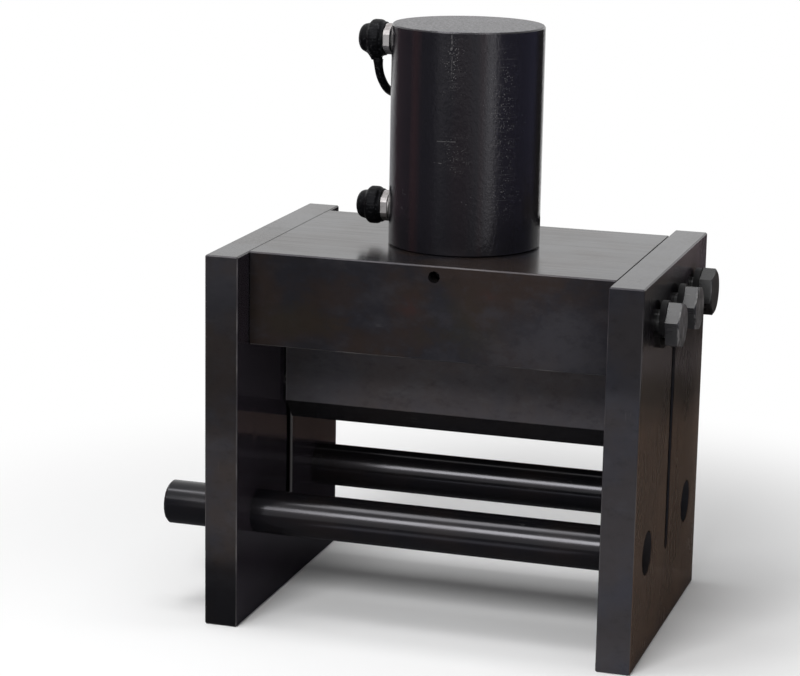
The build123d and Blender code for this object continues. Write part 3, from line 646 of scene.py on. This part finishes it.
def blued_bar(name, black, brown, tint, specular, roughness, end_x=None, painted_light=()):
    """Polished and blued round or hexagonal bar along X, between two roughnesses.

    End faces at end_x are sawn and bright, and the painted light makes it lighter and darker as painted shade.
    """
    s = Shader(name)
    blotch = s.noise(s.place(), 22.0, 4.0, 0.6)
    streak = s.grain(X, 700.0, 8.0)
    nick = s.scratches(X, 300.0, 14.0, 0.04, 0.64)
    colour = s.mix(s.band(blotch, 0.40, 0.68), black, brown)
    rough = s.maths("ADD", s.spread(blotch, *roughness), s.spread(streak, 0.0, 0.05))
    if end_x is not None:
        sawn = s.band(s.grain(Z, 900.0, 150.0, 4.0, 0.7), 0.44, 0.58)
        at_end = s.band(s.coordinates()[X], end_x - SAWN_FAR, end_x - SAWN_NEAR)
        colour = s.mix(at_end, colour, s.mix(sawn, BOLT_END_DARK, BOLT_END))
        rough = s.maths("ADD", rough, s.maths("MULTIPLY", at_end, SAWN_ROUGHER))
    colour = s.with_painted_light(colour, painted_light)
    s.set(Base_Color=s.mix(s.maths("MULTIPLY", nick, BAR_NICKS), colour, WORN_STEEL_AND_PAINTED_HIGHLIGHT))
    s.set(Specular_IOR_Level=specular, Specular_Tint=tint, Roughness=rough)
    s.set(Normal=s.bump(streak, 0.012 * MM, 0.4))
    return s.material


# How much rougher stains make bare metal, and dust makes rubber
STAIN_ROUGHER = 0.09
DUST_ROUGHER = 0.14


def bare_metal(name, colour, stain, rough, axis):
    """Bare or plated metal with a fine grain along an axis and light staining."""
    s = Shader(name)
    blotch = s.noise(s.place(), 160.0, 4.0, 0.6)
    grain = s.grain(axis, 1600.0, 40.0, 3.0, 0.55)
    s.set(Base_Color=s.mix(s.band(blotch, 0.46, 0.78), colour, stain), Metallic=1.0)
    stained_rough = s.spread(blotch, rough, rough + STAIN_ROUGHER)
    s.set(Roughness=s.maths("ADD", stained_rough, s.spread(grain, 0.0, 0.05)))
    s.set(Normal=s.bump(grain, 0.015 * MM, 0.5))
    return s.material


def moulded(name, colour, dusty, rough, grit=None):
    """Moulded rubber or plastic with a fine pebbled skin, a little dust and, if given, paler grit."""
    s = Shader(name)
    pebble = s.noise(s.place(), 1300.0, 4.0, 0.68)
    dust = s.noise(s.place(), 190.0, 4.0, 0.65)
    shade = s.mix(s.band(dust, 0.48, 0.80), colour, dusty)
    if grit is not None:
        grains = s.noise(s.place(), 640.0, 3.0, 0.6)
        shade = s.mix(s.band(grains, 0.56, 0.70, 0.0, 0.6), shade, grit)
    s.set(Base_Color=shade, Specular_IOR_Level=0.12, Specular_Tint=RUBBER_TINT)
    s.set(Roughness=s.spread(dust, rough, rough + DUST_ROUGHER))
    lumps = s.noise(s.place(), 460.0, 3.0, 0.6)
    s.set(Normal=s.bump(pebble, 0.16 * MM, 0.5, s.bump(lumps, 0.35 * MM, 0.4)))
    return s.material


def finish_nodes():
    """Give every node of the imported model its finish, and return the caps' rubber and the valves' steel."""
    bolts = blued_bar("bolt_steel", BOLT_BLACK, BOLT_GREY, WHITE, 0.5, (0.22, 0.32), BOLT_END_X, BOLT_PAINTED_SHADE)
    screws = blued_bar("fastener_steel", BOLT_BLACK, BOLT_GREY, SCREW_TINT, 0.4, (0.20, 0.30))
    washers = blued_bar("washer_steel", WASHER_BLACK, WASHER_BROWN, WASHER_TINT, 0.3, (0.45, 0.58))
    rods = blued_bar("die_rod_steel", ROD_BLACK, ROD_BROWN, ROD_TINT, 0.4, (0.13, 0.18))
    ground = bare_metal("ground_steel", GROUND_STEEL, DULL_STEEL, 0.24, Z)
    valve = bare_metal("valve_steel", GROUND_STEEL, DULL_STEEL, 0.20, X)
    nickel = bare_metal("nickel_plate", NICKEL, NICKEL_STAIN, 0.48, X)
    chrome = bare_metal("ram_chrome", CHROME, GROUND_STEEL, 0.07, Z)
    bronze = bare_metal("bronze", BRONZE, BRONZE_DARK, 0.28, Z)
    seal = moulded("seal_rubber", RUBBER, RUBBER_DUSTY, 0.42)
    washer_seal = moulded("washer_rubber", SEAL_GREY, SEAL_DUSTY, 0.50)
    cap = moulded("cap_rubber", RUBBER, RUBBER_DUSTY, 0.40, RUBBER_GRIT)
    ring = moulded("guide_ring_plastic", RING_BROWN, RING_DARK, 0.45)
    left = blued_plate(
        "left_plate_steel",
        "left_side_plate",
        Z,
        LEFT_SHADES,
        LEFT_PAINTED_LIGHT,
        slot_x=-PLATE_INNER_X,
        bands=LEFT_BANDS,
    )
    right = blued_plate(
        "right_plate_steel",
        "right_side_plate",
        Z,
        RIGHT_SHADES,
        RIGHT_PAINTED_LIGHT,
        rubbed=0.4,
        slot_x=PLATE_INNER_X,
        bands=RIGHT_PAINTED_REFLECTION_BANDS,
    )
    block = blued_plate(
        "block_steel",
        "top_block",
        X,
        BLOCK_SHADES,
        BLOCK_PAINTED_LIGHT,
        rubbed=0.7,
        joint_x=PLATE_INNER_X,
        stains_and_highlight=BLOCK_STAINS_AND_HIGHLIGHT,
    )
    punch = blued_plate("punch_steel", "punch", X, PUNCH_SHADES, PUNCH_PAINTED_LIGHT)
    barrel = blued_barrel("barrel_steel", "cylinder_barrel")
    groups = [
        (left, ["left_side_plate"]),
        (right, ["right_side_plate"]),
        (block, ["top_block"]),
        (punch, ["punch"]),
        (barrel, ["cylinder_barrel"]),
        (chrome, ["piston_rod"]),
        (bronze, ["gland_bush"]),
        (ring, ["piston_wear_ring"]),
        (bolts, ["right_side_bolts"]),
        (screws, ["left_side_screws", "barrel_lock_screw", "piston_nut"]),
        (rods, ["front_die_rod", "rear_die_rod"]),
        (washers, ["right_spring_washers"]),
        (ground, ["punch_guide_pins", "piston", "cylinder_gland"]),
        (valve, ["upper_poppet", "lower_poppet", "upper_poppet_spring", "lower_poppet_spring"]),
        (nickel, ["upper_coupler", "lower_coupler"]),
        (seal, ["gland_o_ring", "rod_seal", "rod_wiper", "piston_seal"]),
        (washer_seal, ["upper_seal_washer", "lower_seal_washer"]),
        (cap, ["upper_dust_cap", "lower_dust_cap", "tether_eye"]),
    ]
    for material, nodes in groups:
        for node in nodes:
            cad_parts[node].material_slots[0].material = material
    return cap, valve


def put(name, data):
    """A new object in the scene."""
    piece = bpy.data.objects.new(name, data)
    bpy.context.scene.collection.objects.link(piece)
    return piece


def put_mesh(name, mesh):
    """A new object in the scene, from a mesh that is finished with."""
    data = bpy.data.meshes.new(name)
    mesh.to_mesh(data)
    mesh.free()
    return put(name, data)


CURVE_STEPS = 8
CURVE_ORDER = 3


def smooth_line(points):
    """Points along the NURBS curve that has these control points."""
    curve = bpy.data.curves.new("route", "CURVE")
    curve.dimensions = "3D"
    curve.resolution_u = CURVE_STEPS
    spline = curve.splines.new("NURBS")
    spline.points.add(len(points) - 1)
    for place, point in zip(spline.points, points):
        place.co = (*point, 1)
    spline.order_u = CURVE_ORDER
    spline.use_endpoint_u = True
    carrier = put("route", curve)
    mesh = bpy.data.meshes.new_from_object(carrier)
    line = [vertex.co.copy() for vertex in mesh.vertices]
    bpy.data.objects.remove(carrier)
    bpy.data.curves.remove(curve)
    bpy.data.meshes.remove(mesh)
    return line


def length_of(line):
    return sum((b - a).length for a, b in zip(line, line[1:]))


def tube(name, line, radius_at, sides):
    """A round tube with closed ends along a line, as thick as radius_at says for the length run so far."""
    mesh = bmesh.new()
    rings = []
    run = 0.0
    side = None
    for i, point in enumerate(line):
        ahead = (line[min(i + 1, len(line) - 1)] - line[max(i - 1, 0)]).normalized()
        side = ahead.orthogonal() if side is None else side - side.dot(ahead) * ahead
        side.normalize()
        other = ahead.cross(side)
        run += (point - line[i - 1]).length if i else 0.0
        radius = radius_at(run)
        ring = []
        for k in range(sides):
            angle = 2 * math.pi * k / sides
            ring.append(mesh.verts.new(point + radius * (math.cos(angle) * side + math.sin(angle) * other)))
        rings.append(ring)
    for first, second in zip(rings, rings[1:]):
        for k in range(sides):
            n = (k + 1) % sides
            mesh.faces.new((first[k], first[n], second[n], second[k]))
    mesh.faces.new(reversed(rings[0]))
    mesh.faces.new(rings[-1])
    piece = put_mesh(name, mesh)
    for face in piece.data.polygons:
        face.use_smooth = len(face.vertices) == 4
    return piece


# Dust caps, in millimetres: the distance from the mouth and the radius there, from the mouth to the domed end
CAP_PROFILE = [
    (0.0, 9.4),
    (0.0, 9.8),
    (1.0, 9.9),
    (1.8, 10.2),
    (2.8, 10.9),
    (3.6, 11.1),
    (5.8, 11.15),
    (7.8, 11.1),
    (8.8, 10.4),
    (9.6, 9.3),
    (10.6, 8.6),
    (12.2, 8.35),
    (13.8, 7.8),
    (15.0, 6.7),
    (16.0, 4.5),
    (16.5, 2.2),
    (16.7, 0.3),
]
CAP_MOUTH_X = -49.55
CAP_BORE_RADIUS = 7.05
CAP_BORE_DEPTH = 14.0
CAP_END_RADIUS = 0.3
CAP_RIBS = 36
CAP_RIB_DEPTH = 0.08
CAP_RIB_START = 2.6
CAP_RIB_END = 9.4
CAP_RIB_FADE = 1.0
CAP_COLUMNS = 288

# The web below the upper cap, which holds the tether, in millimetres
WEB_MIDDLE = 5.35
WEB_ROOT_RADIUS = 2.7
WEB_HALF_WIDTH = 2.2
WEB_REACH = 12.6
WEB_FAR = 8.5
WEB_END = 13.4
WEB_END_REACH = 6.5
WEB_SAG = 2.4
WEB_FILLET = 1.4
SMALLEST_SINE = 0.001


def wider(first, second, fillet):
    """The larger of two numbers, with a rounded change from one to the other."""
    near = max(fillet - abs(first - second), 0.0) / fillet
    return max(first, second) + near * near * fillet / 4


def web_radius(run, turn):
    """How far the web reaches from the cap's axis, by the distance from the mouth and the angle from below."""
    if abs(turn) >= math.pi / 2 or run > WEB_END or run < WEB_MIDDLE - WEB_ROOT_RADIUS:
        return 0.0
    half = math.sqrt(max(WEB_ROOT_RADIUS ** 2 - (run - WEB_MIDDLE) ** 2, 0.0))
    if run > WEB_MIDDLE:
        half = max(half, WEB_HALF_WIDTH)
    reach = WEB_REACH
    if run > WEB_FAR:
        share = (run - WEB_FAR) / (WEB_END - WEB_FAR)
        reach = WEB_REACH + (WEB_END_REACH - WEB_REACH) * share - WEB_SAG * share * (1 - share)
    return min(half / max(abs(math.sin(turn)), SMALLEST_SINE), reach / math.cos(turn))


def dust_cap(name, node, body, port_z, rubber, has_web):
    """A moulded cap with rounded ribs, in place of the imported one; the upper cap has a web for its tether."""
    mesh = bmesh.new()
    bore = [(CAP_BORE_DEPTH, CAP_END_RADIUS), (CAP_BORE_DEPTH, CAP_BORE_RADIUS), (0.0, CAP_BORE_RADIUS)]
    outline = smooth_line([Vector((run, 0.0, radius)) for run, radius in CAP_PROFILE])
    rows = []
    for i, (run, radius) in enumerate(bore + [(point.x, point.z) for point in outline]):
        is_outside = i >= len(bore)
        from_rib_end = min(run - CAP_RIB_START, CAP_RIB_END - run)
        ribbed = min(max(from_rib_end / CAP_RIB_FADE, 0.0), 1.0)
        row = []
        for k in range(CAP_COLUMNS):
            turn = 2 * math.pi * k / CAP_COLUMNS
            turn = turn - 2 * math.pi if turn > math.pi else turn
            here = radius
            if is_outside:
                here -= CAP_RIB_DEPTH * ribbed * (0.5 + 0.5 * math.cos(CAP_RIBS * turn)) ** 2
                if has_web:
                    here = wider(here, web_radius(run, turn), WEB_FILLET)
            place = (CAP_MOUTH_X - run, here * math.sin(turn), port_z - here * math.cos(turn))
            row.append(mesh.verts.new(Vector(place) * MM))
        rows.append(row)
    for first, second in zip(rows, rows[1:]):
        for k in range(CAP_COLUMNS):
            n = (k + 1) % CAP_COLUMNS
            mesh.faces.new((first[k], second[k], second[n], first[n]))
    mesh.faces.new(rows[0])
    mesh.faces.new(reversed(rows[-1]))
    bmesh.ops.recalc_face_normals(mesh, faces=mesh.faces)
    piece = put_mesh(name, mesh)
    piece.data.shade_smooth()
    piece.data.materials.append(rubber)
    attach(piece, body)
    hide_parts(node)


# The tether's route, as in the part's source: X and Y, and Z from the upper port's axis, in millimetres
TETHER_ROUTE = [
    (-54.7, 0.0, -12.6),
    (-54.5, 0.2, -16.4),
    (-54.2, 2.2, -21.4),
    (-53.6, 5.4, -25.7),
    (-53.0, 10.0, -29.8),
    (-52.4, 16.0, -32.9),
    (-51.5, 22.2, -34.6),
    (-50.6, 28.0, -33.2),
    (-49.7, 32.4, -28.6),
    (-48.9, 34.8, -22.0),
    (-48.2, 34.4, -14.8),
    (-47.7, 31.2, -8.2),
    (-47.4, 26.4, -3.0),
    (-47.3, 20.0, 0.0),
    (-47.3, 12.6, 0.0),
]
TETHER_DIAMETER = 5.0 * MM
TETHER_SIDES = 20
TETHER_SWELL = 0.22
TETHER_SWELL_REACH = 2.5 * MM


def cap_tether(rubber):
    """The upper cap's tether, which hangs from the cap's web and comes back to the eye on the coupler."""
    line = smooth_line([Vector((x, y, UPPER_PORT_Z + z)) * MM for x, y, z in TETHER_ROUTE])
    whole = length_of(line)

    def radius_at(run):
        """Thicker for a short way at the web and at the eye, where the tether was moulded on."""
        from_end = min(run, whole - run)
        return TETHER_DIAMETER / 2 * (1 + TETHER_SWELL * math.exp(-from_end / TETHER_SWELL_REACH))

    piece = tube("cap_tether", line, radius_at, TETHER_SIDES)
    piece.data.materials.append(rubber)
    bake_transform(piece)
    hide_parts("upper_cap_tether")


SPRING_WIRE = 1.0 * MM
SPRING_TURNS = 4.5
SPRING_STEPS = 28
SPRING_SIDES = 10


def poppet_spring(name, node, port_z, steel):
    """A valve's coil spring, in place of the sleeve that stands for it."""
    low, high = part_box(node)
    radius = (high.y - low.y) / 2 - SPRING_WIRE / 2
    steps = int(SPRING_TURNS * SPRING_STEPS)
    line = []
    for i in range(steps + 1):
        share = i / steps
        turn = 2 * math.pi * SPRING_TURNS * share
        x = high.x - SPRING_WIRE / 2 - (high.x - low.x - SPRING_WIRE) * share
        line.append(Vector((x, radius * math.cos(turn), port_z * MM + radius * math.sin(turn))))
    piece = tube(name, line, lambda run: SPRING_WIRE / 2, SPRING_SIDES)
    piece.data.materials.append(steel)
    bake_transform(piece)
    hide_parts(node)


def flat_piece(name, corners):
    """A flat four-cornered sheet."""
    data = bpy.data.meshes.new(name)
    data.from_pydata(corners, [], [range(len(corners))])
    return put(name, data)


def seen_or_mirrored(tree):
    """A factor of 1 for what the camera sees, straight, in a mirror or through glass."""
    path = tree.nodes.new("ShaderNodeLightPath")
    total = path.outputs["Is Camera Ray"]
    for name in ("Is Glossy Ray", "Is Transmission Ray"):
        node = tree.nodes.new("ShaderNodeMath")
        node.operation = "MAXIMUM"
        tree.links.new(total, node.inputs[0])
        tree.links.new(path.outputs[name], node.inputs[1])
        total = node.outputs[0]
    return total


FLOOR_HALF = 6.0
FLOOR_ROUGHNESS = 0.9
FADE_START = 0.22
FADE_END = 0.50


def studio_floor():
    """A pale floor that takes the object's shadow and turns white away from it."""
    h = FLOOR_HALF
    piece = flat_piece("studio_floor", [(-h, -h, 0), (h, -h, 0), (h, h, 0), (-h, h, 0)])
    s = Shader("floor_pale")
    s.set(Base_Color=FLOOR_PALE, Roughness=FLOOR_ROUGHNESS, Specular_IOR_Level=0.0)
    x, y, _ = s.coordinates()
    far = s.band(s.length(x, y), FADE_START, FADE_END)
    white = s.add("Emission")
    white.inputs["Color"].default_value = WHITE
    blend = s.add("MixShader")
    s.feed(blend.inputs[0], s.maths("MULTIPLY", far, seen_or_mirrored(s.tree)))
    s.feed(blend.inputs[1], s.surface.outputs[0])
    s.feed(blend.inputs[2], white.outputs[0])
    s.feed(s.tree.nodes["Material Output"].inputs["Surface"], blend.outputs[0])
    piece.data.materials.append(s.material)


# Cards that stand round the object, as a photographer sets them: colour, X and Y of both ends, lowest and
# highest Z
FLAGS = {
    "back_left_flag": ((0.60, 0.60, 0.62, 1), (-0.25, 0.85), (-0.70, 0.39), 0.0, 0.20),
    "left_flag": ((0.22, 0.14, 0.17, 1), (-0.70, 0.39), (-0.496, -0.31), 0.0, 0.38),
    "front_left_flag": ((0.10, 0.10, 0.13, 1), (-0.496, -0.31), (-0.38, -0.71), 0.0, 0.38),
    "right_flag": ((0.18, 0.17, 0.25, 1), (0.69, -0.40), (0.55, 0.60), 0.0, 0.17),
    "right_high_flag": ((0.22, 0.22, 0.37, 1), (0.69, -0.40), (0.55, 0.60), 0.17, 0.38),
    "back_right_flag": ((0.05, 0.045, 0.045, 1), (0.55, 0.60), (0.15, 0.95), 0.0, 0.32),
    "back_low_flag": ((0.035, 0.031, 0.036, 1), (-0.14, 0.105), (0.11, 0.105), 0.0, 0.062),
    "back_brown_flag": ((0.80, 0.56, 0.46, 1), (-0.14, 0.105), (0.11, 0.105), 0.062, 0.082),
    "back_high_flag": ((0.035, 0.031, 0.036, 1), (-0.14, 0.105), (0.11, 0.105), 0.082, 0.222),
    "outer_flag": ((0.13, 0.11, 0.10, 1), (0.135, 0.105), (0.30, 0.105), 0.0, 0.222),
}

# Sheets that lie on the floor: colour, lowest and highest X and Y, and height over the floor
SHEETS = {
    "dark_table": ((0.12, 0.12, 0.13, 1), (-0.70, -3.0), (0.69, 0.39), 0.0005),
    "brown_sheet": ((0.16, 0.135, 0.125, 1), (0.131, -0.15), (0.58, 0.95), 0.001),
    "pale_sheet": ((0.90, 0.90, 1.0, 1), (-0.11, -0.27), (0.055, -0.165), 0.001),
}


def mirror_card(name, colour, corners):
    """A plain card that only mirrors see, so that the blued faces show a studio, not an empty white room."""
    s = Shader(name)
    s.set(Base_Color=colour, Roughness=1.0, Specular_IOR_Level=0.0)
    piece = flat_piece(name, corners)
    piece.data.materials.append(s.material)
    piece.visible_camera = False
    piece.visible_diffuse = False
    piece.visible_shadow = False


def studio_flags():
    """The cards and sheets round the object."""
    for name, (colour, first, second, bottom, top) in FLAGS.items():
        low = [(*first, bottom), (*second, bottom)]
        high = [(*second, top), (*first, top)]
        mirror_card(name, colour, low + high)
    for name, (colour, low, high, lift) in SHEETS.items():
        corners = [(low[0], low[1]), (high[0], low[1]), (high[0], high[1]), (low[0], high[1])]
        mirror_card(name, colour, [(x, y, lift) for x, y in corners])


WORLD_LIGHT = 0.25


def studio_world():
    """White surroundings to look at, and a plain level of light from them."""
    world = bpy.data.worlds.new("studio")
    bpy.context.scene.world = world
    world.use_nodes = True
    tree = world.node_tree
    background = tree.nodes["Background"]
    background.inputs["Color"].default_value = WHITE
    level = tree.nodes.new("ShaderNodeMapRange")
    level.inputs["To Min"].default_value = WORLD_LIGHT
    level.inputs["To Max"].default_value = 1.0
    tree.links.new(seen_or_mirrored(tree), level.inputs["Value"])
    tree.links.new(level.outputs[0], background.inputs["Strength"])


# Lamps aimed at the object: azimuth and elevation in degrees, distance, width, height and power.
# Azimuth 0 is in front, at -Y, and 90 at +X
SOFTBOXES = {
    "key_lamp": (-8.6, 32.0, 1.9, 0.9, 0.5, 23.5),
    "ceiling_strip": (180.0, 87.0, 1.7, 1.2, 0.2, 6.0),
    "ceiling_lamp": (-51.5, 68.6, 1.7, 0.6, 0.6, 8.0),
}
LAMP_AIM = Vector((0.0, 0.0, 0.15))

# Upright strip lamps: azimuth, distance, width, lowest and highest Z, and how bright their faces are
STRIPS = {
    "right_low_strip": (51.0, 0.95, 0.235, 0.01, 0.16, 0.8),
    "right_high_strip": (51.0, 0.95, 0.235, 0.16, 0.30, 3.0),
}


def way_to(azimuth, elevation=0.0):
    """The direction from the object to a lamp."""
    a, e = math.radians(azimuth), math.radians(elevation)
    return Vector((math.sin(a) * math.cos(e), -math.cos(a) * math.cos(e), math.sin(e)))


def area_lamp(name, place, back, width, height, power):
    """A rectangular lamp that shines away from back, and that the camera doesn't see."""
    lamp = bpy.data.lights.new(name, "AREA")
    lamp.shape = "RECTANGLE"
    lamp.size = width
    lamp.size_y = height
    lamp.energy = power
    carrier = put(name, lamp)
    carrier.location = place
    carrier.rotation_mode = "QUATERNION"
    carrier.rotation_quaternion = (-back).to_track_quat("-Z", "Y")
    carrier.visible_camera = False


def studio_lamps():
    """The softboxes and strip lamps."""
    for name, (azimuth, elevation, distance, width, height, power) in SOFTBOXES.items():
        back = way_to(azimuth, elevation)
        area_lamp(name, LAMP_AIM + distance * back, back, width, height, power)
    for name, (azimuth, distance, width, bottom, top, glow) in STRIPS.items():
        back = way_to(azimuth)
        place = distance * back + Vector((0.0, 0.0, (bottom + top) / 2))
        area_lamp(name, place, back, width, top - bottom, math.pi * width * (top - bottom) * glow)


# The photograph's camera
CAMERA_PLACE = Vector((0.40881, -1.44690, 0.51557))
CAMERA_AIM = Vector((-0.03828, 0.0, 0.16133))
CAMERA_ROLL = math.radians(1.0245)
CAMERA_LENS = 116.965
SENSOR_WIDTH = 36.0


def studio_camera():
    """The photograph's viewpoint."""
    data = bpy.data.cameras.new("photo_camera")
    data.sensor_width = SENSOR_WIDTH
    data.lens = CAMERA_LENS
    carrier = put("photo_camera", data)
    turn = (CAMERA_AIM - CAMERA_PLACE).to_track_quat("-Z", "Y").to_matrix().to_4x4()
    carrier.matrix_world = Matrix.Translation(CAMERA_PLACE) @ turn @ Matrix.Rotation(CAMERA_ROLL, 4, "Z")
    bpy.context.scene.camera = carrier


rubber, valve_steel = finish_nodes()
dust_cap("upper_cap_skin", "upper_dust_cap", "upper_cap", UPPER_PORT_Z, rubber, True)
dust_cap("lower_cap_skin", "lower_dust_cap", "lower_cap", LOWER_PORT_Z, rubber, False)
cap_tether(rubber)
poppet_spring("upper_valve_coil", "upper_poppet_spring", UPPER_PORT_Z, valve_steel)
poppet_spring("lower_valve_coil", "lower_poppet_spring", LOWER_PORT_Z, valve_steel)
studio_floor()
studio_flags()
studio_world()
studio_lamps()
studio_camera()
bpy.context.scene.view_settings.view_transform = "Standard"
